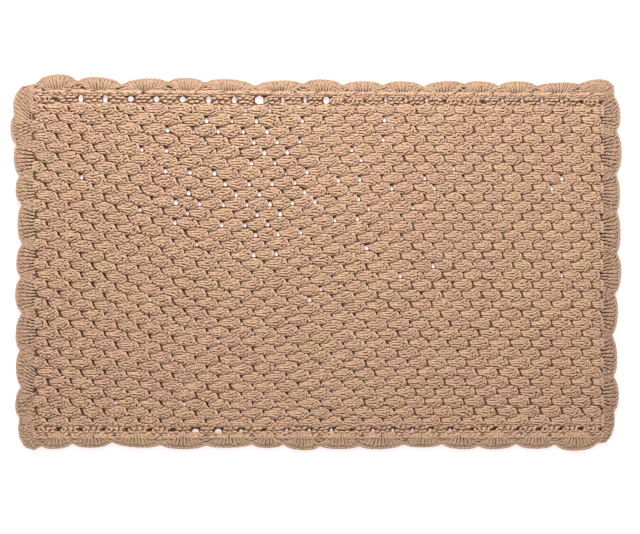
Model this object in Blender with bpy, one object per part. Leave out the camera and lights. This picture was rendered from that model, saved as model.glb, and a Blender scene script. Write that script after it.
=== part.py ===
"""Crocheted rug: a field of three-stitch clusters with a scalloped shell edging worked round it.

Metres, +Z up. The origin is the middle of the underside. The rug's length runs along X. Every crochet row of
the field runs along Y, from one long side to the other, so the rows are counted along X.
"""

import math
import random

import bmesh
import bpy
from mathutils import Vector

MM = 0.001

# The whole rug and its thickness.
RUG_LENGTH = 864 * MM
RUG_WIDTH = 532 * MM
UNDERSIDE = 0.0
GAP_HEIGHT = 5.5 * MM
CLUSTER_HEIGHT = 8.5 * MM
FIELD_EDGE_HEIGHT = 7.0 * MM
FIELD_EDGE_GAP_HEIGHT = 6.5 * MM
SHELL_HEIGHT = 8.0 * MM
RIM_HEIGHT = 5.5 * MM
JOIN_GAP = 0.3 * MM

# The field's cluster rows, from the left: the rows of the right third were worked tighter.
ROW_BANDS = (
    # (rows, pitch in mm)
    (34, 16.1),
    (18, 13.95),
)
ROWS = sum(rows for rows, pitch in ROW_BANDS)
STEPS = 36
END_STEP = 0.6

# How far the field's edge lies inside the rug's box, in mm, at the start, middle and end of each side.
FIELD_INSETS = {
    # side: (start, middle, end), the start being the top or the left
    "left": (31.0, 37.0, 36.0),
    "right": (28.0, 29.0, 28.0),
    "top": (25.0, 28.0, 30.0),
    "bottom": (19.0, 19.0, 20.0),
}

# The rows lean off straight towards the two long sides. Each lean is strongest at one row and fades round it.
LEANS = (
    # (side, strongest row, rows over which it fades, lean in mm)
    ("top", 20, 11, 31.0),
    ("bottom", 37, 7, -20.0),
)
LEAN_CURVE = 1.3
STEADY_ROWS = 3
SAG = 14 * MM
SAG_ROW = 17
SAG_ROWS = 9

# Gaps that stand open. Those of the two end steps are the widest, and are given by row.
END_GAPS = (
    # (side, first row, last row, width in mm, length in mm)
    ("top", 4, 6, 7.0, 12.0),
    ("top", 8, 12, 9.0, 8.0),
    ("top", 14, 16, 8.0, 10.0),
    ("top", 18, 18, 12.5, 12.5),
    ("top", 20, 22, 5.0, 9.0),
    ("top", 24, 24, 9.0, 11.0),
    ("top", 30, 34, 4.4, 7.0),
    ("top", 42, 48, 4.4, 5.5),
    ("bottom", 14, 16, 10.0, 8.5),
    ("bottom", 18, 18, 5.5, 7.0),
    ("bottom", 22, 26, 4.4, 8.5),
    ("bottom", 30, 38, 4.2, 7.0),
)
OPEN_GAP_WIDTH = (4.3, 6.6)
OPEN_GAP_LENGTH = (5.0, 7.4)
OPEN_MIDDLE = (-52 * MM, 112 * MM)
OPEN_SPREAD = (150 * MM, 105 * MM)
OPEN_SHARE = 0.62
OPEN_STRAY = 0.012
GAP_SEED = 21

# The scallops. Each side runs clockwise from its first notch, seen from above.
# A row is one shell: where its far notch lies along the side, measured from the rug's middle, how far in from
# the rug's box that notch lies, and how far in its crest lies, all in mm.
FIRST_NOTCH = {
    # side: (along, inset)
    "top": (-396, 14),
    "right": (235, 11),
    "bottom": (398, 11),
    "left": (-219, 13.5),
}
SHELLS = {
    "top": (
        (-337, 10, 0),
        (-274, 15, 4),
        (-209, 11, 6),
        (-157, 12, 5),
        (-86, 17, 7),
        (-18, 14, 9),
        (38, 16, 7),
        (95, 16, 10),
        (152, 18, 10),
        (210, 14, 10),
        (258, 17, 10),
        (312, 17, 10),
        (371, 14, 12),
    ),
    "right": (
        (186, 7.5, 2),
        (125, 8, 0),
        (72, 7, 2.5),
        (13, 7, 1.5),
        (-45, 10, 0.5),
        (-103, 14, 5.5),
        (-161, 12, 6.5),
        (-211, 11, 4),
    ),
    "bottom": (
        (338, 9.5, 0),
        (283, 10, 3),
        (230, 7, 2.5),
        (178, 10, 2.5),
        (124, 9.5, 5),
        (61, 6.5, 2.5),
        (6, 6.5, 2.5),
        (-46, 9.5, 1),
        (-90, 9.5, 4),
        (-155, 8, 4.5),
        (-220, 8.5, 2.5),
        (-288, 13, 5),
        (-344, 11, 4.5),
        (-388, 7, 3),
    ),
    "left": (
        (-176, 16.5, 7),
        (-124, 14, 8),
        (-72, 17, 7.5),
        (-21, 15.5, 7),
        (26, 17.5, 8.5),
        (82, 16.5, 10.5),
        (122, 14, 7.5),
        (166, 9, 5),
        (208, 5.5, 0.2),
    ),
}
# The four corner shells turn through these points, in mm from the rug's middle.
CORNER_POINTS = {
    # the side before the corner: ((along the length, across the width), ...)
    "top": ((390, 258), (402, 259), (413, 257), (421, 250)),
    "right": ((422, -221), (421, -233), (416, -246), (409, -254)),
    "bottom": ((-399, -265), (-411, -261), (-418, -249), (-421, -233)),
    "left": ((-428, 226), (-425, 237), (-416, 248), (-405, 250)),
}
SIDES = ("top", "right", "bottom", "left")
SHELL_STEPS = 6
SCALLOP_ROUNDNESS = 0.6
CORNER_CLEARANCE = 7 * MM
# The edging's lines from the field outwards: share of the way to the rim, and height.
EDGING_SECTIONS = (
    (0.0, FIELD_EDGE_HEIGHT),
    (0.5, SHELL_HEIGHT),
    (1.0, RIM_HEIGHT),
)

FIELD_YARN = (0.60, 0.37, 0.22)
EDGING_YARN = (0.57, 0.34, 0.205)
YARN_ROUGHNESS = 0.9


def clear_scene():
    for thing in list(bpy.data.objects):
        bpy.data.objects.remove(thing, do_unlink=True)


def new_collection(name):
    collection = bpy.data.collections.new(name)
    bpy.context.scene.collection.children.link(collection)
    return collection


def yarn_material(name, colour):
    material = bpy.data.materials.new(name)
    material.use_nodes = True
    shader = material.node_tree.nodes["Principled BSDF"]
    shader.inputs["Base Color"].default_value = (*colour, 1.0)
    shader.inputs["Roughness"].default_value = YARN_ROUGHNESS
    shader.inputs["Metallic"].default_value = 0.0
    return material


def new_object(name, bm, material, collection):
    mesh = bpy.data.meshes.new(name)
    bm.to_mesh(mesh)
    bm.free()
    thing = bpy.data.objects.new(name, mesh)
    mesh.materials.append(material)
    collection.objects.link(thing)
    return thing


def field_inset(side, share):
    """Distance from the rug's box to the field's edge, a share of the way along a side."""
    start, middle, end = FIELD_INSETS[side]
    bend = 2 * (start + end - 2 * middle)
    return MM * (start + (end - start - bend) * share + bend * share * share)


def field_left(across):
    return -RUG_LENGTH / 2 + field_inset("left", across)


def field_right(across):
    return RUG_LENGTH / 2 - field_inset("right", across)


def field_top(along):
    return RUG_WIDTH / 2 - field_inset("top", along)


def field_bottom(along):
    return -RUG_WIDTH / 2 + field_inset("bottom", along)


def row_share(row):
    """How far along the field a row's line of gaps lies, from 0 at the left edge to 1 at the right."""
    length = sum(rows * pitch for rows, pitch in ROW_BANDS)
    reach = 0.0
    for rows, pitch in ROW_BANDS:
        reach += min(row, rows) * pitch
        row = max(row - rows, 0)
    return reach / length


def step_share(step):
    """How far across the field a step lies, from 0 at the top edge to 1 at the bottom."""
    full = STEPS - 2 + 2 * END_STEP
    if step == 0:
        return 0.0
    if step == STEPS:
        return 1.0
    return (END_STEP + step - 1) / full


def row_lean(row, across):
    """Sideways lean of a row near the long sides, none on the field's own left and right edges."""
    lean = 0.0
    for side, strongest, fade, size in LEANS:
        nearness = max(1 - 2 * across, 0.0) if side == "top" else max(2 * across - 1, 0.0)
        lean += size * MM * nearness**LEAN_CURVE * math.exp(-(((row - strongest) / fade) ** 2))
    return lean * min(row, ROWS - row, STEADY_ROWS) / STEADY_ROWS


def lattice_point(row, step):
    """Where a row crosses a step: the gaps and the clusters' middles lie on this warped lattice."""
    along = row_share(row)
    across = step_share(step)
    x = field_left(across) + (field_right(across) - field_left(across)) * along
    y = field_top(along) + (field_bottom(along) - field_top(along)) * across
    sag = SAG * math.exp(-(((row - SAG_ROW) / SAG_ROWS) ** 2)) * math.sin(math.pi * across)
    return Vector((x + row_lean(row, across), y - sag, 0.0))


def is_gap(row, step):
    return (row + step) % 2 == 1


def open_gaps():
    """Width and length of every gap over 4 mm, by its row and step."""
    sizes = {}
    for side, first, last, width, length in END_GAPS:
        step = 1 if side == "top" else STEPS - 1
        for row in range(first, last + 1, 2):
            sizes[row, step] = (width * MM, length * MM)
    draw = random.Random(GAP_SEED)
    for row in range(3, ROWS - 2):
        for step in range(2, STEPS - 1):
            if not is_gap(row, step):
                continue
            place = lattice_point(row, step)
            aside = (place.x - OPEN_MIDDLE[0]) / OPEN_SPREAD[0]
            away = (place.y - OPEN_MIDDLE[1]) / OPEN_SPREAD[1]
            chance = OPEN_STRAY + OPEN_SHARE * math.exp(-(aside**2) - away**2)
            luck, width, length = draw.random(), draw.uniform(*OPEN_GAP_WIDTH), draw.uniform(*OPEN_GAP_LENGTH)
            if luck < chance:
                sizes[row, step] = (width * MM, length * MM)
    return sizes


def split_into_clusters(bm, lattice):
    """Cuts each lattice cell from gap to gap, along the seam between two clusters."""
    for face in list(bm.faces):
        gaps = [corner for corner in face.verts if is_gap(*lattice[corner])]
        bmesh.utils.face_split(face, gaps[0], gaps[1])


def cut_open_gaps(bm, lattice):
    """Opens the wide gaps: each becomes an eight-sided hole of its own width and length."""
    sizes = open_gaps()
    holes = [(corner, sizes[place]) for corner, place in lattice.items() if place in sizes]
    centres = [(corner.co.copy(), size) for corner, size in holes]
    start = min(OPEN_GAP_WIDTH) * MM / 2
    bmesh.ops.bevel(
        bm, geom=[corner for corner, size in holes], offset=start, offset_type="OFFSET",
        affect="VERTICES", segments=1, profile=0.5, material=-1,
    )
    rings = [face for face in bm.faces if len(face.verts) == 8]
    for ring in rings:
        middle = ring.calc_center_median()
        centre, (width, length) = min(centres, key=lambda hole: (hole[0] - middle).length)
        for corner in ring.verts:
            turn = math.atan2(corner.co.y - centre.y, corner.co.x - centre.x)
            corner.co.x = centre.x + math.cos(turn) * width / 2
            corner.co.y = centre.y + math.sin(turn) * length / 2
            corner.co.z = GAP_HEIGHT
    bmesh.ops.delete(bm, geom=rings, context="FACES_ONLY")


def close_underneath(bm):
    """Gives the sheet its flat underside and its edges."""
    top = list(bm.faces)
    grown = bmesh.ops.extrude_face_region(bm, geom=top)["geom"]
    under = [item for item in grown if isinstance(item, bmesh.types.BMVert)]
    for corner in under:
        corner.co.z = UNDERSIDE
    under_faces = [item for item in grown if isinstance(item, bmesh.types.BMFace)]
    under_edges = list({edge for face in under_faces for edge in face.edges})
    bmesh.ops.dissolve_limit(
        bm, angle_limit=math.radians(0.5), use_dissolve_boundaries=False,
        verts=under, edges=under_edges,
    )
    bmesh.ops.recalc_face_normals(bm, faces=bm.faces)


def build_field(collection, material):
    bm = bmesh.new()
    bmesh.ops.create_grid(bm, x_segments=ROWS, y_segments=STEPS, size=1.0)
    lattice = {}
    for corner in bm.verts:
        row = round((corner.co.x + 1) / 2 * ROWS)
        step = round((1 - corner.co.y) / 2 * STEPS)
        lattice[corner] = (row, step)
        corner.co = lattice_point(row, step)
        on_edge = row in (0, ROWS) or step in (0, STEPS)
        if is_gap(row, step):
            corner.co.z = FIELD_EDGE_GAP_HEIGHT if on_edge else GAP_HEIGHT
        else:
            corner.co.z = FIELD_EDGE_HEIGHT if on_edge else CLUSTER_HEIGHT
    split_into_clusters(bm, lattice)
    cut_open_gaps(bm, lattice)
    close_underneath(bm)
    return new_object("granny_field", bm, material, collection)


def rim_point(side, along, inset):
    """A point of the rug's outline, given along a side and in from the rug's box."""
    if side == "top":
        return Vector((along * MM, RUG_WIDTH / 2 - inset * MM, 0.0))
    if side == "bottom":
        return Vector((along * MM, -RUG_WIDTH / 2 + inset * MM, 0.0))
    if side == "right":
        return Vector((RUG_LENGTH / 2 - inset * MM, along * MM, 0.0))
    return Vector((-RUG_LENGTH / 2 + inset * MM, along * MM, 0.0))


def field_corner(side):
    """The field's corner at the clockwise end of a side."""
    if side == "top":
        return Vector((field_right(0.0), field_top(1.0), 0.0))
    if side == "right":
        return Vector((field_right(1.0), field_bottom(1.0), 0.0))
    if side == "bottom":
        return Vector((field_left(1.0), field_bottom(0.0), 0.0))
    return Vector((field_left(0.0), field_top(0.0), 0.0))


def foot_point(side, rim):
    """The point of the field's edge, moved out by the join gap, that a rim point stands on."""
    left, right = field_left(0.5), field_right(0.5)
    top, bottom = field_top(0.5), field_bottom(0.5)
    if side in ("top", "bottom"):
        ends = (field_corner("left").x, field_corner("top").x)
        if side == "bottom":
            ends = (field_corner("bottom").x, field_corner("right").x)
        x = min(max(rim.x, ends[0] + CORNER_CLEARANCE), ends[1] - CORNER_CLEARANCE)
        along = (x - left) / (right - left)
        if side == "top":
            return Vector((x, field_top(along) + JOIN_GAP, 0.0))
        return Vector((x, field_bottom(along) - JOIN_GAP, 0.0))
    ends = (field_corner("bottom").y, field_corner("left").y)
    if side == "right":
        ends = (field_corner("right").y, field_corner("top").y)
    y = min(max(rim.y, ends[0] + CORNER_CLEARANCE), ends[1] - CORNER_CLEARANCE)
    across = (top - y) / (top - bottom)
    if side == "right":
        return Vector((field_right(across) + JOIN_GAP, y, 0.0))
    return Vector((field_left(across) - JOIN_GAP, y, 0.0))


def shell_points(side, start, shell):
    """One shell from its first notch up to, not with, its far one: rim points, feet and fullness."""
    (along, inset), (far_along, far_inset, crest) = start, shell
    points = []
    for k in range(SHELL_STEPS):
        share = k / SHELL_STEPS
        swell = (1 - abs(2 * share - 1) ** 2) ** SCALLOP_ROUNDNESS
        chord = inset + (far_inset - inset) * share
        rise = (inset + far_inset) / 2 - crest
        rim = rim_point(side, along + (far_along - along) * share, chord - rise * swell)
        points.append((rim, foot_point(side, rim), swell))
    return points


def corner_shell(side, next_side, start):
    """The shell round a corner, from a side's last notch up to, not with, the next side's first."""
    first = rim_point(side, *start)
    last = rim_point(next_side, *FIRST_NOTCH[next_side])
    corner = field_corner(side)
    outward = Vector((math.copysign(JOIN_GAP, corner.x), math.copysign(JOIN_GAP, corner.y), 0.0))
    corner = corner + outward
    turn_points = [Vector((x * MM, y * MM, 0.0)) for x, y in CORNER_POINTS[side]]
    half = len(turn_points) // 2
    near, far = foot_point(side, first), foot_point(next_side, last)
    points = [(first, near, 0.0)]
    for k, rim in enumerate(turn_points):
        if k < half:
            foot = near.lerp(corner, (k + 1) / (half + 1))
        else:
            foot = corner.lerp(far, (k - half) / (half + 1))
        points.append((rim, foot, 1.0))
    return points


def edging_columns():
    """Rim point, foot point and fullness all round the rug, clockwise from the top left."""
    columns = []
    for number, side in enumerate(SIDES):
        start = FIRST_NOTCH[side]
        for shell in SHELLS[side]:
            columns += shell_points(side, start, shell)
            start = shell[:2]
        columns += corner_shell(side, SIDES[(number + 1) % len(SIDES)], start)
    return columns


def build_edging(collection, material):
    """A loft from the field's edge over the shells' bodies to the scalloped rim."""
    columns = edging_columns()
    bm = bmesh.new()
    loops = []
    for share, height in EDGING_SECTIONS:
        loop = []
        for rim, foot, swell in columns:
            flat = foot.lerp(rim, share)
            fullness = swell if share > 0 else 1.0
            loop.append(bm.verts.new((flat.x, flat.y, RIM_HEIGHT + (height - RIM_HEIGHT) * fullness)))
        loops.append(loop)
    for inner, outer in zip(loops, loops[1:]):
        for k in range(len(columns)):
            bm.faces.new((inner[k - 1], inner[k], outer[k], outer[k - 1]))
    close_underneath(bm)
    return new_object("shell_edging", bm, material, collection)


clear_scene()
rug = new_collection("crocheted_rug")
build_field(rug, yarn_material("field_yarn", FIELD_YARN))
build_edging(rug, yarn_material("edging_yarn", EDGING_YARN))
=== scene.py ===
import math
import random

import bmesh
import bpy
import numpy as np
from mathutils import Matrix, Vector


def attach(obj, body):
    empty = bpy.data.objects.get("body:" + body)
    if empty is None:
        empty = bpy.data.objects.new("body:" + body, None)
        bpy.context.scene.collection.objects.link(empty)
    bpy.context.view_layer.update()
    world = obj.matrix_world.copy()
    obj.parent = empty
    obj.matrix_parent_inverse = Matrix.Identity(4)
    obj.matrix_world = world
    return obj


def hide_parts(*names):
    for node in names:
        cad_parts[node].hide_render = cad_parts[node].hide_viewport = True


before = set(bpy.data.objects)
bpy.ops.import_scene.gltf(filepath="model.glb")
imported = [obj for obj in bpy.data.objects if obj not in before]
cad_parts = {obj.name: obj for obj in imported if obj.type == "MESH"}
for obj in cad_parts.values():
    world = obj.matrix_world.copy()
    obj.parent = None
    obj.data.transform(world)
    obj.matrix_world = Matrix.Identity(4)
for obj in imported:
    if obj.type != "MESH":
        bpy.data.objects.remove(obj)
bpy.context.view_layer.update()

MM = 0.001


# The cloth of the field: the thick body that the crochet makes under its outer strands. Cotton, in one piece.
# It is the field's own solid, thinned so that the strands stand proud of it. It has the same open gaps, and
# narrow slits beside some of the closed ones. Its face is coloured with painted shade, darker the lower it
# lies.
UNDER_LEVEL = 1 * MM
CLOTH_UNDER = 2.2 * MM
CLOTH_LOWERED = 3.0 * MM
CLOTH_THINNEST = 0.8 * MM
YARN_SAND = (0.585, 0.374, 0.245)
YARN_STRAW = (0.59, 0.388, 0.242)
YARN_ROSE = (0.585, 0.362, 0.248)
# Painted shade: the dark colour that yarn and cloth are mixed towards where they lie low, standing in for the
# shade between strands.
YARN_PAINTED_SHADE = (0.26, 0.125, 0.07)
CLOTH_PAINTED_SHADE = (0.17, 0.08, 0.045)
PATCH_SIZE = 32 * MM
PLY_PITCH = 5.5 * MM
PLIES = 3
FIBRE_SIZE = 0.5 * MM
GAP_LEVEL = 5.5 * MM
EDGE_GAP_LEVEL = 6.5 * MM
EDGE_LEVEL = 7.0 * MM
CLUSTER_LEVEL = 8.5 * MM
LEVEL_SLACK = 0.1 * MM
GAP_GATHER = 9 * MM
GAP_STRAY = (1.0 * MM, 0.6 * MM)
GLIMPSE_LENGTH = 3.8 * MM
GLIMPSE_WIDTH = 2.8 * MM
GLIMPSE_LEAN = 0.45
GLIMPSE_ASIDE = (1.1 * MM, -1.3 * MM)
GLIMPSE_MIDDLE = -0.02
GLIMPSE_REACH = 0.26
GLIMPSE_CHANCE = 1.15
GLIMPSE_CUT = 12 * MM
UNEVEN_FROM = -0.06
UNEVEN_FULL = -0.2
STRAY_SEED = 7
GLIMPSE_SEED = 11


def yarn_nodes(name, lowest, highest, painted_shade=YARN_PAINTED_SHADE):
    """Cotton yarn: sand with straw and rose patches, mixed towards a painted shade where it lies low between
    the stitches.
    """
    material = bpy.data.materials.new(name)
    material.use_nodes = True
    tree = material.node_tree
    shader = tree.nodes["Principled BSDF"]
    shader.inputs["Roughness"].default_value = 0.9
    shader.inputs["Sheen Weight"].default_value = 0.15
    shader.inputs["Sheen Roughness"].default_value = 0.5
    shader.inputs["Specular IOR Level"].default_value = 0.2
    place = tree.nodes.new("ShaderNodeTexCoord")

    patches = tree.nodes.new("ShaderNodeTexNoise")
    patches.inputs["Scale"].default_value = 1 / PATCH_SIZE
    patches.inputs["Detail"].default_value = 3.0
    tree.links.new(place.outputs["Object"], patches.inputs["Vector"])
    tints = tree.nodes.new("ShaderNodeValToRGB")
    tints.color_ramp.elements[0].position = 0.36
    tints.color_ramp.elements[0].color = (*YARN_ROSE, 1)
    tints.color_ramp.elements[1].position = 0.66
    tints.color_ramp.elements[1].color = (*YARN_STRAW, 1)
    middle = tints.color_ramp.elements.new(0.5)
    middle.color = (*YARN_SAND, 1)
    tree.links.new(patches.outputs["Fac"], tints.inputs["Fac"])

    tone = tree.nodes.new("ShaderNodeAttribute")
    tone.attribute_name = "tone"
    strand = tree.nodes.new("ShaderNodeHueSaturation")
    tree.links.new(tone.outputs["Fac"], strand.inputs["Value"])
    tree.links.new(tints.outputs["Color"], strand.inputs["Color"])

    # Painted shade: below the given highest level the colour darkens towards the painted shade, fully at the
    # lowest level.
    height = tree.nodes.new("ShaderNodeSeparateXYZ")
    tree.links.new(place.outputs["Object"], height.inputs["Vector"])
    shade_mask = tree.nodes.new("ShaderNodeMapRange")
    shade_mask.interpolation_type = "SMOOTHSTEP"
    shade_mask.inputs["From Min"].default_value = lowest
    shade_mask.inputs["From Max"].default_value = highest
    tree.links.new(height.outputs["Z"], shade_mask.inputs["Value"])
    shade = tree.nodes.new("ShaderNodeMix")
    shade.data_type = "RGBA"
    shade.inputs["A"].default_value = (*painted_shade, 1)
    tree.links.new(shade_mask.outputs["Result"], shade.inputs["Factor"])
    tree.links.new(strand.outputs["Color"], shade.inputs["B"])
    tree.links.new(shade.outputs["Result"], shader.inputs["Base Color"])
    return material, tree, shader, place


def ply_bump(tree, shader, place):
    """The yarn's plies wind round it: a ridge every third of a turn, with loose fibres over it."""
    along = tree.nodes.new("ShaderNodeUVMap")
    along.uv_map = "UVMap"
    parts = tree.nodes.new("ShaderNodeSeparateXYZ")
    tree.links.new(along.outputs["UV"], parts.inputs["Vector"])
    turns = tree.nodes.new("ShaderNodeMath")
    turns.operation = "MULTIPLY"
    turns.inputs[1].default_value = PLIES
    tree.links.new(parts.outputs["Y"], turns.inputs[0])
    wound = tree.nodes.new("ShaderNodeMath")
    wound.operation = "ADD"
    tree.links.new(parts.outputs["X"], wound.inputs[0])
    tree.links.new(turns.outputs["Value"], wound.inputs[1])
    ridge = tree.nodes.new("ShaderNodeMath")
    ridge.operation = "PINGPONG"
    ridge.inputs[1].default_value = 0.5
    tree.links.new(wound.outputs["Value"], ridge.inputs[0])
    fibres = tree.nodes.new("ShaderNodeTexNoise")
    fibres.inputs["Scale"].default_value = 1 / FIBRE_SIZE
    fibres.inputs["Detail"].default_value = 2.0
    tree.links.new(place.outputs["Object"], fibres.inputs["Vector"])
    plies = tree.nodes.new("ShaderNodeBump")
    plies.inputs["Strength"].default_value = 0.8
    plies.inputs["Distance"].default_value = 0.9 * MM
    tree.links.new(ridge.outputs["Value"], plies.inputs["Height"])
    fuzz = tree.nodes.new("ShaderNodeBump")
    fuzz.inputs["Strength"].default_value = 0.4
    fuzz.inputs["Distance"].default_value = 0.3 * MM
    tree.links.new(fibres.outputs["Fac"], fuzz.inputs["Height"])
    tree.links.new(plies.outputs["Normal"], fuzz.inputs["Normal"])
    tree.links.new(fuzz.outputs["Normal"], shader.inputs["Normal"])


def even_tone(mesh):
    """Cloth has one tone where strands each have their own."""
    tone = mesh.attributes.new("tone", "FLOAT", "POINT")
    tone.data.foreach_set("value", np.full(len(mesh.vertices), 1.0, dtype=np.float32))


def add_piece(name, mesh, material):
    """A visible piece of the rug, made of one material."""
    piece = bpy.data.objects.new(name, mesh)
    bpy.context.scene.collection.objects.link(piece)
    mesh.materials.clear()
    mesh.materials.append(material)
    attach(piece, "root")
    return piece


def thinned_copy(node):
    """The node's own solid as a merged mesh, its face lowered and its underside raised."""
    bm = bmesh.new()
    bm.from_mesh(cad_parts[node].data)
    bmesh.ops.remove_doubles(bm, verts=bm.verts, dist=0.01 * MM)
    for corner in bm.verts:
        if corner.co.z < UNDER_LEVEL:
            corner.co.z = CLOTH_UNDER
        else:
            corner.co.z = max(corner.co.z - CLOTH_LOWERED, CLOTH_UNDER + CLOTH_THINNEST)
    return bm


def node_levels(node):
    """The node's points by their height, each once."""
    found = {}
    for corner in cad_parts[node].data.vertices:
        key = (round(corner.co.x, 5), round(corner.co.y, 5), round(corner.co.z, 5))
        found[key] = Vector(key)
    return sorted(found.values(), key=lambda p: (p.x, p.y, p.z))


def at_level(points, level):
    """The points that lie at one height."""
    return [p for p in points if abs(p.z - level) < LEVEL_SLACK]


def unevenness(x):
    """The left of the rug is worked less evenly than the rest: from 0 to 1."""
    return min(1.0, max(0.0, (x - UNEVEN_FROM) / (UNEVEN_FULL - UNEVEN_FROM)))


def gap_places(points):
    """Every gap's middle, half width and level.

    An open gap's rim points are gathered. A closed gap is one point, strayed a little, as hand work is."""
    stray = random.Random(STRAY_SEED)
    groups = []
    for point in points:
        near = [group for group in groups if (group[0].xy - point.xy).length < GAP_GATHER]
        if near:
            near[0].append(point)
        else:
            groups.append([point])
    places = []
    for group in groups:
        middle = sum((point.xy for point in group), Vector((0, 0))) / len(group)
        shift = Vector([stray.uniform(-most, most) for most in GAP_STRAY])
        if len(group) == 1 and group[0].z < GAP_LEVEL + LEVEL_SLACK:
            middle = middle + shift
        half_width = 0
        if len(group) > 1:
            half_width = sum((point.xy - middle).length for point in group) / len(group)
        places.append((middle.x, middle.y, half_width, group[0].z))
    return np.array(places)


def cut_glimpses(cloth, draw):
    """Narrow slits through the cloth beside closed gaps, mostly in the middle of the rug."""
    points = node_levels("granny_field")
    gaps = gap_places(at_level(points, GAP_LEVEL) + at_level(points, EDGE_GAP_LEVEL))
    bm = bmesh.new()
    along = Vector((-GLIMPSE_LEAN, 1, 0)).normalized() * GLIMPSE_LENGTH / 2
    across = Vector((1, GLIMPSE_LEAN, 0)).normalized() * GLIMPSE_WIDTH / 2
    one_side = (along, 0.6 * along + across, -0.6 * along + across)
    outline = one_side + tuple(-offset for offset in one_side)
    for x, y, half_width, level in gaps:
        if half_width > 0 or level > GAP_LEVEL + LEVEL_SLACK:
            continue
        if draw.random() > GLIMPSE_CHANCE - abs(x - GLIMPSE_MIDDLE) / GLIMPSE_REACH:
            continue
        middle = Vector((x + GLIMPSE_ASIDE[0], y + GLIMPSE_ASIDE[1], 0))
        low = [bm.verts.new(middle + offset) for offset in outline]
        high = [bm.verts.new(corner.co + Vector((0, 0, GLIMPSE_CUT))) for corner in low]
        bm.faces.new(low)
        bm.faces.new(reversed(high))
        for k in range(6):
            bm.faces.new((low[k], high[k], high[(k + 1) % 6], low[(k + 1) % 6]))
    bmesh.ops.recalc_face_normals(bm, faces=bm.faces)
    cutter_mesh = bpy.data.meshes.new("glimpses")
    bm.to_mesh(cutter_mesh)
    bm.free()
    cutter = bpy.data.objects.new("glimpses", cutter_mesh)
    bpy.context.scene.collection.objects.link(cutter)
    holder = bpy.data.objects.new("cloth_holder", cloth)
    bpy.context.scene.collection.objects.link(holder)
    cutting = holder.modifiers.new("glimpses", "BOOLEAN")
    cutting.operation = "DIFFERENCE"
    cutting.solver = "EXACT"
    cutting.object = cutter
    mesh = bpy.data.meshes.new_from_object(holder.evaluated_get(bpy.context.evaluated_depsgraph_get()))
    for extra in (holder, cutter):
        bpy.data.objects.remove(extra, do_unlink=True)
    return mesh


def even_underside(mesh):
    """The faces that look down at the floor have the yarn's own colour all over, without the cloth's painted
    shade.
    """
    mesh.materials.append(underside_material)
    for face in mesh.polygons:
        if face.normal.z < -0.5:
            face.material_index = 1


# The cloth's face gets a strong painted shade below 9 mm, for the shade between the strands; its underside
# gets none.
cloth_material = yarn_nodes("cotton_cloth", 3.5 * MM, 9 * MM, CLOTH_PAINTED_SHADE)[0]
underside_material = yarn_nodes("cotton_cloth_underside", -4 * MM, 0 * MM)[0]
bm = thinned_copy("granny_field")
cloth_mesh = bpy.data.meshes.new("field_cloth")
bm.to_mesh(cloth_mesh)
bm.free()
cloth_mesh = cut_glimpses(cloth_mesh, random.Random(GLIMPSE_SEED))
even_tone(cloth_mesh)
field_cloth = add_piece("field_cloth", cloth_mesh, cloth_material)
even_underside(cloth_mesh)
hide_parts("granny_field")


# The clusters of the field: three double crochet stitches worked into one gap of the row before, drawn
# together at the gap and spread at their heads. Soft cotton yarn about 3 mm thick. Strands run the length of
# a cluster, its wraps and loops are slung over them, and one strand closes its end beside the next gap.
YARN_RADIUS = 1.6 * MM
FACE_SIDES = 5
END_RADIUS = 0.02
REACH = 27 * MM
EDGE_TUCK = 3 * MM
RIM_SHARE = 0.35
OPEN_GAP_ROOM = (-0.4 * MM, 0.9 * MM, 0.7 * MM)
SIDE_SPREAD = 0.73
ROW_END_REACH = 11 * MM
FACE_BANDS = 4
STRAND_SEED = 4


def neighbour(centre, gaps, along, across):
    """The side of a cluster: as far as the nearest gap's rim, or a short tuck where the cloth ends.

    Given as the point there and the kind of side: end, open or closed."""
    side = Vector((along, across))
    away = gaps[:, :2] - np.array((centre.x, centre.y))
    forward = away @ np.array(side)
    aside = np.abs(away @ np.array((-across, along)))
    distance = np.hypot(forward, aside)
    good = (forward > 1 * MM) & (aside < 0.9 * forward) & (distance < REACH)
    if not good.any():
        return centre.xy + side * EDGE_TUCK, "end"
    nearest = np.argmin(np.where(good, distance, np.inf))
    reach, half_width = distance[nearest], gaps[nearest, 2]
    kept = reach - RIM_SHARE * half_width if along else min(reach, (reach - half_width) / SIDE_SPREAD)
    return centre.xy + Vector(away[nearest]) * (kept / reach), "open" if half_width > 0 else "closed"


def cluster_cells():
    """Every cluster: its middle, left, right, top and bottom, the kinds of its four sides, and whether it
    stands beside an edge gap."""
    points = node_levels("granny_field")
    gaps = gap_places(at_level(points, GAP_LEVEL) + at_level(points, EDGE_GAP_LEVEL))
    gaps[gaps[:, 2] > 0, :3] += np.array(OPEN_GAP_ROOM)
    middles = at_level(points, CLUSTER_LEVEL) + at_level(points, EDGE_LEVEL)
    middles.sort(key=lambda p: (p.x, p.y))
    cells = []
    for middle in middles:
        ways = ((-1, 0), (1, 0), (0, 1), (0, -1))
        sides, kinds = zip(*(neighbour(middle, gaps, *way) for way in ways))
        cells.append(((middle.xy, *sides), kinds))
    edge_gaps = gap_places(at_level(points, EDGE_GAP_LEVEL))
    row_end = [
        float(np.hypot(edge_gaps[:, 0] - cell[0].x, edge_gaps[:, 1] - cell[0].y).min()) < ROW_END_REACH
        for cell, kinds in cells
    ]
    return [(cell, kinds, near) for (cell, kinds), near in zip(cells, row_end)]


def in_cell(cell, u, v, z):
    """A point of a cluster: u runs from its left gap to its right one, v from the bottom to the top one."""
    middle, left, right, top, bottom = cell
    flat = middle + (right - middle) * u if u > 0 else middle + (middle - left) * u
    flat = flat + ((top - middle) * v if v > 0 else (middle - bottom) * v)
    return Vector((flat.x, flat.y, z * MM))


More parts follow.
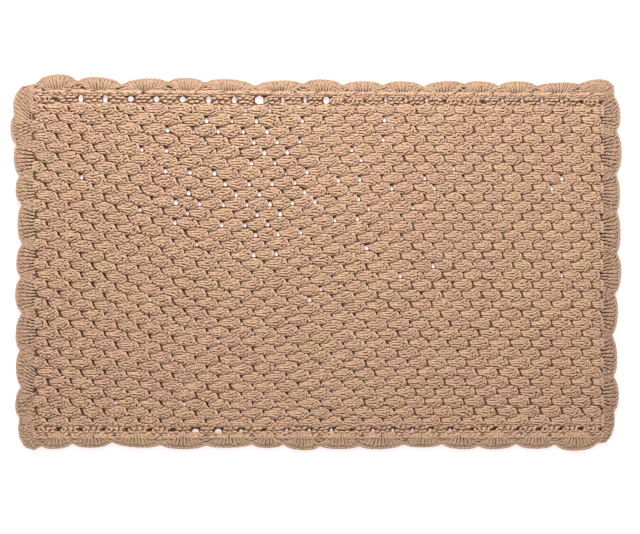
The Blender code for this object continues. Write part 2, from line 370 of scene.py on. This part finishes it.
def strand_section(sides):
    """The outline of a strand, swept along every path."""
    curve = bpy.data.curves.new("strand_section", "CURVE")
    curve.dimensions = "2D"
    ring = curve.splines.new("POLY")
    ring.points.add(sides - 1)
    for k in range(sides):
        turn = math.tau * (k + 0.5) / sides
        ring.points[k].co = (math.cos(turn) * YARN_RADIUS, math.sin(turn) * YARN_RADIUS, 0, 1)
    ring.use_cyclic_u = True
    outline = bpy.data.objects.new("strand_section", curve)
    bpy.context.scene.collection.objects.link(outline)
    return outline


def strands_mesh(name, paths, draw, sides=FACE_SIDES, tone=1.0):
    """One mesh of all the paths as strands, with yarn length along U and its turn along V.

    Each path is (points, closed). An open strand narrows to a point at both ends, where it is hidden."""
    section = strand_section(sides)
    curve = bpy.data.curves.new(name, "CURVE")
    curve.dimensions = "3D"
    curve.bevel_mode = "OBJECT"
    curve.bevel_object = section
    for points, closed in paths:
        spline = curve.splines.new("POLY")
        spline.points.add(len(points) - 1)
        spline.points.foreach_set("co", [value for p in points for value in (*p, 1.0)])
        spline.use_cyclic_u = closed
        if not closed:
            spline.points[0].radius = END_RADIUS
            spline.points[-1].radius = END_RADIUS
    holder = bpy.data.objects.new(name, curve)
    bpy.context.scene.collection.objects.link(holder)
    graph = bpy.context.evaluated_depsgraph_get()
    mesh = bpy.data.meshes.new_from_object(holder.evaluated_get(graph))
    for extra in (holder, section):
        bpy.data.objects.remove(extra, do_unlink=True)

    rings = [len(points) for points, closed in paths]
    lengths = [sum((b - a).length for a, b in zip(points, points[1:])) for points, closed in paths]
    spans = [count if closed else count - 1 for count, (points, closed) in zip(rings, paths)]
    uv = np.empty(len(mesh.loops) * 2, dtype=np.float32)
    mesh.uv_layers[0].data.foreach_get("uv", uv)
    scale = np.repeat(np.array(lengths) / PLY_PITCH, np.array(spans) * sides * 4)
    uv[0::2] *= scale[: len(mesh.loops)]
    mesh.uv_layers[0].data.foreach_set("uv", uv)
    # Each strand has its own random tone, times the tone given for the whole mesh, which for the edging is
    # painted shade.
    tones = [tone * draw.uniform(0.92, 1.08) for path in paths]
    tone_layer = mesh.attributes.new("tone", "FLOAT", "POINT")
    tone_layer.data.foreach_set("value", np.repeat(tones, np.array(rings) * sides).astype(np.float32))

    bm = bmesh.new()
    bm.from_mesh(mesh)
    bmesh.ops.remove_doubles(bm, verts=bm.verts, dist=0.1 * MM)
    bmesh.ops.recalc_face_normals(bm, faces=bm.faces)
    bm.to_mesh(mesh)
    bm.free()
    mesh.shade_smooth()
    return mesh


# Columns: place along the cluster, spread of its strands, height in mm.
POST_COURSE = (
    (-0.98, 0.24, 3.2),
    (-0.84, 0.35, 6.2),
    (-0.42, 0.53, 8.1),
    (0.04, 0.61, 8.3),
    (0.40, 0.60, 7.3),
    (0.74, 0.48, 5.0),
)
POST_SHARES = (-0.86, -0.43, 0, 0.43, 0.86)
START_LEAN = 0.14
DOME = 3.8
# Columns: place along the cluster, place across it.
WRAP_PLACES = (
    (0.12, -0.36), (0.16, 0.02), (0.10, 0.40),
    (0.38, -0.47), (0.40, -0.17), (0.40, 0.13), (0.36, 0.43),
    (0.64, -0.39), (0.68, -0.17), (0.66, 0.06), (0.60, 0.27),
)
ROW_END_PLACES = (
    (-0.66, -0.70), (-0.10, -0.74), (0.46, -0.70),
    (-0.44, -0.34), (0.10, -0.30), (0.62, -0.36),
    (-0.62, 0.06), (-0.06, 0.10), (0.46, 0.04),
    (-0.36, 0.46), (0.20, 0.50), (0.66, 0.46),
)
ROW_END_BARS = (-0.95, -0.6, -0.2, 0.2, 0.6)
CROSSING_PLACES = ((-0.75, -0.08), (-0.34, -0.14), (0.1, -0.06), (0.52, -0.12))
UNEVEN_PLACES = ((-0.62, -0.24), (-0.54, 0.14), (-0.30, -0.40), (-0.24, 0.32), (-0.10, -0.04))
WRAP_LEVEL = 9.0
WRAP_REACH = (0.20, 0.23)
ROW_END_REACHES = (0.30, 0.2)
CROSSING_REACHES = (0.2, 0.36)
SLUNG_TUCK = 2.4
CLOSING_LEVEL = 7.8
CLOSING_SHARE = (0.15, 0.7)
EXTRA_LOOPS_SHARE = 0.6
MOST_TILT = 0.09
TILT_CENTRE = 0.3
HEAD_START = 0.4
HEAD_FALL = 1.6
BAR_COURSE = (
    (-1.0, 0.80, 3.4),
    (-0.72, 0.86, 5.4),
    (0.0, 0.86, 6.2),
    (0.72, 0.86, 5.4),
    (1.0, 0.80, 3.4),
)
# Columns: place across the cluster, height in mm.
END_COURSE = ((0.56, 4.2), (0.30, 7.3), (0.02, 7.9), (-0.26, 7.3), (-0.54, 4.4))


def slung(place, near, far, level):
    """A short strand over the others, its ends tucked down. place(a, b, z) gives a point of the crochet."""
    points = []
    for share, tuck in ((0, SLUNG_TUCK), (0.24, 0), (0.76, 0), (1, SLUNG_TUCK)):
        a, b = (start + (end - start) * share for start, end in zip(near, far))
        points.append(place(a, b, level - tuck))
    return points, False


def post_strands(cell, draw, tilt):
    """The upright stitches: strands fanning from the left gap to the heads."""
    paths = []
    start, swell = draw.uniform(-0.02, 0.07), draw.uniform(0.94, 1.06)
    for share in POST_SHARES:
        drop, sway = DOME * 0.8 * share * share + draw.uniform(-0.5, 0.5), draw.uniform(-0.04, 0.04)
        points = []
        for k, (u, spread, z) in enumerate(POST_COURSE):
            along = u + (start - START_LEAN * share) * (k < 2) + draw.uniform(-0.02, 0.02)
            across = share * spread * swell + sway * (-1) ** k + tilt * (u + TILT_CENTRE)
            across += draw.uniform(-0.02, 0.02)
            points.append(in_cell(cell, along, across, z - drop))
        paths.append((points, False))
    return paths


def wrap_strands(cell, draw, tilt, places, reaches, turns):
    """The yarn-overs of the stitches and the loops of their heads, slung across the upright strands."""
    paths = []
    for u, v in places:
        u += draw.uniform(-0.06, 0.06)
        turn = draw.choice((-1, 1, 1, 1)) * draw.uniform(*turns)
        long, wide = reaches[0] * math.cos(turn), reaches[1] * math.sin(turn)
        level = WRAP_LEVEL - DOME * v * v - HEAD_FALL * max(0, u - HEAD_START) + draw.uniform(-0.6, 0.4)
        v += tilt * (u + TILT_CENTRE) + draw.uniform(-0.05, 0.05)
        near, far = (u - long, v - wide), (u + long, v + wide)
        paths.append(slung(lambda a, b, z: in_cell(cell, a, b, z), near, far, level))
    return paths


def cluster_end(v):
    """How far along the cluster its heads lie: the end is round and leans away from the row's start."""
    return 0.90 - 0.26 * v - 0.72 * v * v


def end_strand(cell, draw, tilt):
    """The strand that lies along the cluster's end, beside the gap."""
    push = draw.uniform(-0.07, 0.01)
    points = []
    for v, z in END_COURSE:
        along = cluster_end(v) + push + draw.uniform(-0.02, 0.02)
        points.append(in_cell(cell, along, v + 0.8 * tilt, z + draw.uniform(-0.3, 0.3)))
    return points, False


def bar_strands(cell, draw, shares):
    """The end of a row: strands lying straight from gap to gap."""
    paths = []
    for share in shares:
        drop, sway = draw.uniform(0, 1.2), draw.uniform(-0.07, 0.07)
        points = []
        for k, (u, spread, z) in enumerate(BAR_COURSE):
            across = share * spread + sway * (-1) ** k + draw.uniform(-0.05, 0.05)
            points.append(in_cell(cell, u + draw.uniform(-0.08, 0.08), across, z - drop))
        paths.append((points, False))
    return paths


def face_strands(cell, kinds, near_end, draw):
    """All the strands of one cluster, or of a row end where it stands in a cluster's place."""
    left, right, top, bottom = kinds
    if "end" in (top, bottom) or (near_end and "end" not in (left, right)):
        outer = 1 if cell[0].y > 0 else -1
        bars = bar_strands(cell, draw, [outer * share for share in ROW_END_BARS])
        places = [(u, outer * v) for u, v in ROW_END_PLACES]
        loops = wrap_strands(cell, draw, 0, places, ROW_END_REACHES, (0.0, 0.45))
        if (left, right) == ("closed", "closed"):
            places = [(u, outer * v) for u, v in CROSSING_PLACES]
            loops += wrap_strands(cell, draw, 0, places, CROSSING_REACHES, (0.8, 1.3))
        return bars + loops
    uneven = unevenness(cell[0].x)
    tilt = draw.uniform(-MOST_TILT, MOST_TILT)
    places = WRAP_PLACES + (UNEVEN_PLACES if draw.random() < EXTRA_LOOPS_SHARE * uneven else ())
    loops = wrap_strands(cell, draw, tilt, places, WRAP_REACH, (0.15, 0.85))
    if right == "closed" and draw.random() < CLOSING_SHARE[0] + CLOSING_SHARE[1] * uneven:
        v, rise = draw.uniform(-0.34, -0.18), draw.uniform(-0.15, 0.15)
        near, far = (0.82, v - rise), (1.18, v + rise)
        loops.append(slung(lambda a, b, z: in_cell(cell, a, b, z), near, far, CLOSING_LEVEL))
    return post_strands(cell, draw, tilt) + loops + [end_strand(cell, draw, tilt)]


# The face yarn gets painted shade below 7 mm, full below 2.5 mm.
yarn_material, tree, shader, place = yarn_nodes("cotton_yarn", 2.5 * MM, 7 * MM)
ply_bump(tree, shader, place)
cells = cluster_cells()
draw = random.Random(STRAND_SEED)
band_size = math.ceil(len(cells) / FACE_BANDS)
for band in range(FACE_BANDS):
    paths = []
    for cell, kinds, near_end in cells[band * band_size:(band + 1) * band_size]:
        paths += face_strands(cell, kinds, near_end, draw)
    name = f"field_face_{band + 1}"
    mesh = strands_mesh(name, paths, draw)
    add_piece(name, mesh, yarn_material)


# The back of the field: the same stitches seen from behind, pressed flat by the floor that the rug lies on.
# The same cotton yarn, in plain pairs with one loop across each head.
BACK_BANDS = 2
BACK_SIDES = 4
BACK_LEVEL = 1.7


def back_strands(cell, draw, slots):
    """The stitches of one cluster from behind: a pair of strands to each, and a loop across its head."""
    paths = []
    for slot in slots:
        for side in (-1, 1):
            start, sway = slot * 0.40 + side * 0.12, draw.uniform(-0.03, 0.03)
            paths.append(([
                in_cell(cell, -0.92, start * 0.4, 3.0),
                in_cell(cell, -0.50, start * 1.0 + sway, BACK_LEVEL + 0.15),
                in_cell(cell, 0.10, start * 1.3 - sway, BACK_LEVEL),
                in_cell(cell, 0.66, start * 1.1, 3.2),
            ], False))
        v = slot * 0.40
        paths.append(([
            in_cell(cell, cluster_end(v) - 0.16, v - 0.30, 3.0),
            in_cell(cell, cluster_end(v) - 0.20, v - 0.05, BACK_LEVEL - 0.05),
            in_cell(cell, cluster_end(v) - 0.02, v + 0.14, BACK_LEVEL),
            in_cell(cell, cluster_end(v) - 0.10, v + 0.32, 3.0),
        ], False))
    return paths


# The back's painted shade is set below 0 mm, under all of its strands, so none of it shows.
back_material, tree, shader, place = yarn_nodes("cotton_yarn_back", -4 * MM, 0 * MM)
ply_bump(tree, shader, place)
band_size = math.ceil(len(cells) / BACK_BANDS)
for band in range(BACK_BANDS):
    paths = []
    for cell, kinds, near_end in cells[band * band_size:(band + 1) * band_size]:
        paths += back_strands(cell, draw, (0,) if "end" in kinds[2:] else (-1, 0, 1))
    name = f"field_back_{band + 1}"
    mesh = strands_mesh(name, paths, draw, BACK_SIDES)
    add_piece(name, mesh, back_material)


# The shell edging: worked round the finished field in the same cotton. Double crochet stitches fan out from
# one gap of the field's edge, the next gap holds them down, and so on all round. Short loops lie over them,
# and the chain of their heads makes the scalloped rim.
RIM_LEVEL = 5.5 * MM
RIM_TUCK = 2.6 * MM
# Painted shade: the edging's strands are darker overall, standing in for the shade among its lumps.
EDGING_PAINTED_SHADE = 0.81
SIDE_FAN_FOOT = 0.7
FAR_FAN_FOOT = 0.5
NEAR_FAN_FOOT = 0.62
STITCH_WIDTH = 6.4 * MM
NOTCH_PITCH = 3.2 * MM
SIDE_ROWS = (0.14, 0.40, 0.66)
NEAR_FAN_REACH = 0.5
SHELL_LOOP_LEVEL = 8.8
SIDE_LOOP_LEVEL = 8.2
NOTCH_LEVEL = 7.6
SHELL_FALL = 1.6
SIDE_FALL = 1.8
RIM_CORDS = ((5.6, 0.92), (2.9, 0.93))
SHELL_FACES_OUT = 0.85
NOTCH_FACES_OUT = 0.7
# Columns: place from the foot to the rim, how far the strands spread to each side there.
NOTCH_ROWS = ((-0.04, 0.36), (0.14, 0.28), (0.32, 0.20), (0.50, 0.12), (0.68, 0.05))
CORD_STEPS = 4


def edging_columns(bm):
    """Rim point, body point and foot point round the edging, in order, read from its merged solid."""
    under = {corner for corner in bm.verts if corner.co.z < UNDER_LEVEL}
    rim = [
        corner for corner in bm.verts
        if abs(corner.co.z - RIM_LEVEL) < LEVEL_SLACK
        and any(edge.other_vert(corner) in under for edge in corner.link_edges)
    ]
    rim_set = set(rim)
    walk = [min(rim, key=lambda corner: (corner.co.x, corner.co.y))]
    while True:
        following = [
            edge.other_vert(walk[-1]) for edge in walk[-1].link_edges
            if edge.other_vert(walk[-1]) in rim_set and edge.other_vert(walk[-1]) not in walk[-2:]
        ]
        following = [corner for corner in following if len(walk) < 3 or corner is not walk[0]]
        if not following:
            break
        walk.append(following[0])
    columns = []
    for corner in walk:
        inner = [
            edge.other_vert(corner) for edge in corner.link_edges
            if edge.other_vert(corner) not in under and edge.other_vert(corner) not in rim_set
        ]
        body = min(inner, key=lambda other: (other.co.xy - corner.co.xy).length)
        columns.append((corner.co.copy(), body.co.copy(), 2 * body.co.xy - corner.co.xy))
    return columns


def on_edging(rim_place, foot_place, w, z):
    """A point of the edging: places along its rim and its foot, and w from the foot to the rim."""
    ends = []
    for place, side in ((rim_place, 0), (foot_place, 1)):
        k, part = math.floor(place), place % 1
        here, there = (columns[j % len(columns)][side * 2].xy for j in (k, k + 1))
        ends.append(here.lerp(there, part))
    flat = ends[1].lerp(ends[0], w)
    return Vector((flat.x, flat.y, z * MM))


def outward(place):
    """The way out of the rug at a place along the edging."""
    return (on_edging(place, place, 1, 0) - on_edging(place, place, 0, 0)).normalized()


def evenly(first, last, w, shares):
    """Places at the given shares of the way from first to last, measured along the edging at w.

    Given with the length of that way."""
    steps = np.linspace(first, last, 6 * math.ceil(last - first) + 1)
    line = [on_edging(place, place, w, 0) for place in steps]
    along = np.concatenate(([0.0], np.cumsum([(a - b).length for a, b in zip(line, line[1:])])))
    return [float(place) for place in np.interp(np.asarray(shares) * along[-1], along, steps)], along[-1]


def shell_strands(first, last):
    """Each strand of a shell: its place along the rim and its place along the foot. Two make a stitch."""
    way = outward((first + last) / 2).y
    gather = SIDE_FAN_FOOT + ((FAR_FAN_FOOT if way > 0 else NEAR_FAN_FOOT) - SIDE_FAN_FOOT) * abs(way)
    count = max(6, round(evenly(first, last, 1, ())[1] / STITCH_WIDTH))
    rims = evenly(first, last, 1, (np.arange(2 * count) + 0.5) / (2 * count))[0]
    shares = np.repeat((np.arange(count) + 0.5) / count, 2)
    return list(zip(rims, evenly(first, last, 0, 0.5 + (shares - 0.5) * gather)[0]))


def fan_strands(first, last, draw):
    """A shell's stitches: strands out to the rim, with loops over them.

    Those of the near long side, which the photo has at the bottom, start further into the rug."""
    paths = []
    way = outward((first + last) / 2).y
    long_side = abs(way) > SHELL_FACES_OUT
    inward = NEAR_FAN_REACH if way < -SHELL_FACES_OUT else 0
    strands = shell_strands(first, last)
    width = 2 * (last - first) / len(strands)
    for k, (rim, foot) in enumerate(strands):
        low = SHELL_FALL * abs(2 * (rim - first) / (last - first) - 1) ** 2
        begin = 0.14 - 0.3 * inward if k % 2 else -0.12 - inward
        sway = draw.uniform(-0.12, 0.12) * width
        drop = low + draw.uniform(-0.7, 0.7) + (0 if long_side else 1.0)
        paths.append(([
            on_edging(rim, foot, begin, 4.0 if k % 2 else 2.8 + 3 * inward),
            on_edging(rim - sway, foot, begin + 0.20, 6.6 - drop + 3.6 * inward),
            on_edging(rim + sway, foot, 0.50 - 0.6 * inward, 8.0 - drop + inward),
            on_edging(rim - sway, foot, 0.76, 7.0 - drop),
            on_edging(rim, foot, 0.88, 5.6),
            on_edging(rim, foot, 0.99, 3.4),
        ], False))
    if not long_side:
        return paths + side_loops(strands, 0.35 * width, draw)
    for rim, foot in strands[::2]:
        w, lean = 0.62 + draw.uniform(-0.1, 0.1), draw.choice((-1, 1)) * draw.uniform(0.1, 0.8) * width
        aside = abs(2 * (rim - first) / (last - first) - 1)
        level = SHELL_LOOP_LEVEL - SHELL_FALL * w * w - SHELL_FALL * aside ** 2
        paths.append(slung(
            lambda a, b, z: on_edging(a, foot, b, z),
            (rim - lean, w - 0.12), (rim + lean, w + 0.12), level + draw.uniform(-0.7, 0.3),
        ))
    return paths


def side_loops(strands, most_lean, draw):
    """Short strands that lie along the others at the rug's short sides, one after another and staggered."""
    paths = []
    for k, (rim, foot) in enumerate(strands):
        for row in SIDE_ROWS:
            w, lean = row + 0.13 * (k % 2) + draw.uniform(-0.05, 0.05), draw.uniform(-most_lean, most_lean)
            level = SIDE_LOOP_LEVEL - SIDE_FALL * w * w + draw.uniform(-1.0, 0.6)
            near, far = (rim - lean, w - 0.13), (rim + lean, w + 0.13)
            paths.append(slung(lambda a, b, z: on_edging(a, foot, b, z), near, far, level))
    return paths


def notch_strands(notch, before, after, feet, draw):
    """Between two shells: short strands on the long sides, and strands out to the rim on the short ones."""
    paths = []
    if abs(outward(notch).y) > NOTCH_FACES_OUT:
        for w, reach in NOTCH_ROWS:
            for share in np.linspace(-reach, reach, 1 + round(reach / 0.09)):
                span = before if share < 0 else after
                middle = notch + (float(share) + draw.uniform(-0.03, 0.03)) * span
                half, rise = draw.uniform(0.10, 0.15) * span, draw.uniform(-0.10, 0.10)
                level = NOTCH_LEVEL - SHELL_FALL * w + draw.uniform(-0.9, 0.4)
                near, far = (middle - half, w - rise), (middle + half, w + rise)
                paths.append(slung(lambda a, b, z: on_edging(a, a, b, z), near, far, level))
        return paths
    count = max(2, math.ceil(evenly(*feet, 0, ())[1] / NOTCH_PITCH))
    shares = np.arange(1, count) / count
    strands = [
        (notch + (float(share) - 0.5) * 0.1 * (before + after), foot)
        for share, foot in zip(shares, evenly(*feet, 0, shares)[0])
    ]
    for rim, foot in strands:
        sway, drop = draw.uniform(-0.02, 0.02) * before, draw.uniform(0.6, 2.2)
        paths.append(([
            on_edging(rim, foot, -0.06, 3.0),
            on_edging(rim + sway, foot, 0.14, 7.6 - drop),
            on_edging(rim - sway, foot, 0.46, 7.8 - drop),
            on_edging(rim, foot, 0.76, 6.2 - 0.5 * drop),
            on_edging(rim, foot, 0.96, 3.4),
        ], False))
    return paths + side_loops(strands, 0.03 * before, draw)


def rim_cords(notches, level, w):
    """The heads along the rim: two strands laid round each other like a chain, all the way round."""
    places = []
    for first, last in zip(notches, notches[1:]):
        steps = len(shell_strands(first, last)) // 2 * CORD_STEPS
        places += [first + (last - first) * k / steps for k in range(steps)]
    paths = []
    for side in (-1, 1):
        points = []
        for k, place in enumerate(places):
            turn = math.tau * k / CORD_STEPS / 2
            points.append(on_edging(
                place, place, w + side * 0.035 * math.cos(turn), level + side * 0.5 * math.sin(turn),
            ))
        paths.append((points, True))
    return paths


def under_strands(first, last):
    """The shell from behind: a pair of strands to each stitch."""
    paths = []
    for rim, foot in shell_strands(first, last):
        paths.append(([
            on_edging(rim, foot, -0.02, 2.8),
            on_edging(rim, foot, 0.30, BACK_LEVEL + 0.1),
            on_edging(rim, foot, 0.66, BACK_LEVEL),
            on_edging(rim, foot, 0.90, 2.8),
        ], False))
    return paths


bm = bmesh.new()
bm.from_mesh(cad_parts["shell_edging"].data)
bmesh.ops.remove_doubles(bm, verts=bm.verts, dist=0.01 * MM)
columns = edging_columns(bm)
bm.free()
notches = [k for k, (rim, body, foot) in enumerate(columns) if body.z < RIM_LEVEL + 0.5 * MM]
notches.append(notches[0] + len(columns))
spans = [last - first for first, last in zip(notches, notches[1:])]
face_paths = [path for level, w in RIM_CORDS for path in rim_cords(notches, level, w)]
back_paths = []
for k, (first, last) in enumerate(zip(notches, notches[1:])):
    before = shell_strands(notches[k - 1], first) if k else shell_strands(*notches[-2:])
    last_foot = before[-1][1] - (0 if k else len(columns))
    feet = (last_foot, shell_strands(first, last)[0][1])
    face_paths += fan_strands(first, last, draw) + notch_strands(first, spans[k - 1], spans[k], feet, draw)
    back_paths += under_strands(first, last)
# The edging's face strands are darkened by its painted shade.
mesh = strands_mesh("edging_face", face_paths, draw, tone=EDGING_PAINTED_SHADE)
edging_face = add_piece("edging_face", mesh, yarn_material)
mesh = strands_mesh("edging_back", back_paths, draw, BACK_SIDES)
edging_back = add_piece("edging_back", mesh, back_material)

bm = thinned_copy("shell_edging")
for corner in bm.verts:
    nearest = min(columns, key=lambda column: (column[0].xy - corner.co.xy).length)
    if (nearest[0].xy - corner.co.xy).length < RIM_TUCK:
        inward = (nearest[2] - nearest[0].xy).normalized() * RIM_TUCK
        corner.co.x += inward.x
        corner.co.y += inward.y
edging_mesh = bpy.data.meshes.new("edging_cloth")
bm.to_mesh(edging_mesh)
bm.free()
even_tone(edging_mesh)
# The edging's cloth has the same painted shade as the field's.
edging_cloth = add_piece("edging_cloth", edging_mesh, cloth_material)
even_underside(edging_mesh)
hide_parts("shell_edging")


# The floor, the light and the camera: a white studio floor, soft light from the top of the photo, and the
# camera straight above the rug, framed as the photo is.
FLOOR_REACH = 8.0
FLOOR_WHITE = (0.98, 0.98, 0.98)
FLOOR_BLUSH = (0.98, 0.90, 0.93)
CAMERA_HEIGHT = 3.0
CAMERA_AIM = (5.9 * MM, -6.8 * MM)
PHOTO_WIDTH = 906 * MM
SENSOR = 36.0
FLOOR_GLOW = 0.46
SKY_STRENGTH = 0.64
LAMP_PLACE = (-0.12, 1.15, 1.09)
LAMP_POWER = 29.0
LAMP_SIZE = 0.29

floor_mesh = bpy.data.meshes.new("studio_floor")
bm = bmesh.new()
bmesh.ops.create_grid(bm, x_segments=1, y_segments=1, size=FLOOR_REACH)
bm.to_mesh(floor_mesh)
bm.free()
floor = bpy.data.objects.new("studio_floor", floor_mesh)
bpy.context.scene.collection.objects.link(floor)
floor_material = bpy.data.materials.new("studio_floor")
floor_material.use_nodes = True
shader = floor_material.node_tree.nodes["Principled BSDF"]
shader.inputs["Base Color"].default_value = (*FLOOR_WHITE, 1)
shader.inputs["Roughness"].default_value = 0.9
shader.inputs["Emission Color"].default_value = (*FLOOR_BLUSH, 1)
shader.inputs["Emission Strength"].default_value = FLOOR_GLOW
floor_mesh.materials.append(floor_material)

world = bpy.data.worlds.new("soft_sky")
world.use_nodes = True
world.node_tree.nodes["Background"].inputs["Color"].default_value = (1.0, 1.0, 1.0, 1)
world.node_tree.nodes["Background"].inputs["Strength"].default_value = SKY_STRENGTH
bpy.context.scene.world = world
lamp_data = bpy.data.lights.new("window", "AREA")
lamp_data.energy = LAMP_POWER
lamp_data.size = LAMP_SIZE
lamp = bpy.data.objects.new("window", lamp_data)
lamp.location = LAMP_PLACE
lamp.rotation_euler = Vector(LAMP_PLACE).to_track_quat("Z", "Y").to_euler()
bpy.context.scene.collection.objects.link(lamp)

camera_data = bpy.data.cameras.new("photo_camera")
camera_data.sensor_width = SENSOR
camera_data.lens = SENSOR * CAMERA_HEIGHT / PHOTO_WIDTH
camera = bpy.data.objects.new("photo_camera", camera_data)
camera.location = (*CAMERA_AIM, CAMERA_HEIGHT)
bpy.context.scene.collection.objects.link(camera)
bpy.context.scene.camera = camera
bpy.context.scene.view_settings.view_transform = "Standard"
